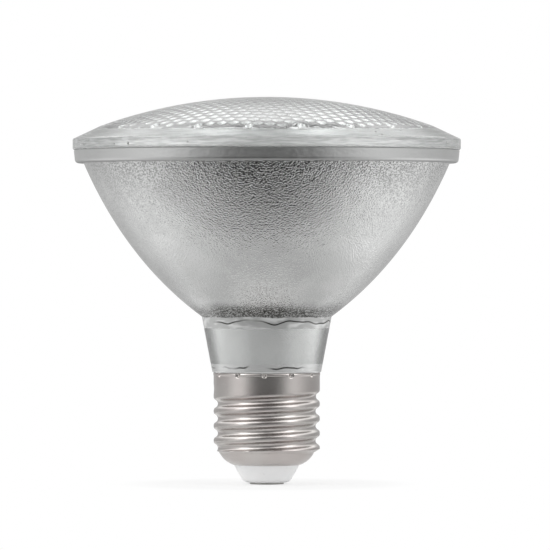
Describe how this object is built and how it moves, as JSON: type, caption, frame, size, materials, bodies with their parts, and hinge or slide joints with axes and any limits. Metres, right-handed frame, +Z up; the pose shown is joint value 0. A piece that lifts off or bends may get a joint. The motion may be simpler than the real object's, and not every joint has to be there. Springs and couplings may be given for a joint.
{
  "type": "par spotlight bulb",
  "caption": "Pressed-glass reflector spotlight bulb with a domed hobnail lens, a halogen burner on the focus and a medium screw cap",
  "frame": {"origin": "bottom centre of the centre contact, on the lamp's axis", "axes": "+Z runs up the lamp's axis from the contact to the lens; the picture looks along +Y"},
  "size_m": [0.0952, 0.0952, 0.095],
  "materials": {
    "lens_glass": "clear pressed glass, faintly green at the rim",
    "reflector_glass": "pressed glass with an orange-peel skin, silvered by an aluminium film inside",
    "adhesive": "cured lens adhesive",
    "quartz": "clear quartz",
    "cement": "matt ceramic cement",
    "tungsten": "drawn tungsten wire",
    "lead_metal": "drawn nickel and molybdenum wire",
    "solder": "dull solder",
    "cap_metal": "nickel-plated brass sheet, satin",
    "white_insulator": "white moulded insulator, satin",
    "contact_metal": "nickel-plated brass, dulled"
  },
  "bodies": {
    "root": {"lens": "lens_glass", "lens_seal": "adhesive", "reflector": "reflector_glass", "burner_capsule": "quartz", "burner_cement": "cement", "filament": "tungsten", "filament_lead_long": "lead_metal", "filament_lead_short": "lead_metal", "seal_foil_live": "lead_metal", "seal_foil_neutral": "lead_metal", "burner_pin_live": "lead_metal", "burner_pin_neutral": "lead_metal", "crimp_live": "lead_metal", "crimp_neutral": "lead_metal", "lead_wire_live": "lead_metal", "lead_wire_neutral": "lead_metal", "side_weld": "solder", "cap_shell": "cap_metal", "cap_insulator": "white_insulator", "centre_contact": "contact_metal", "contact_solder": "solder"}
  },
  "joints": []
}
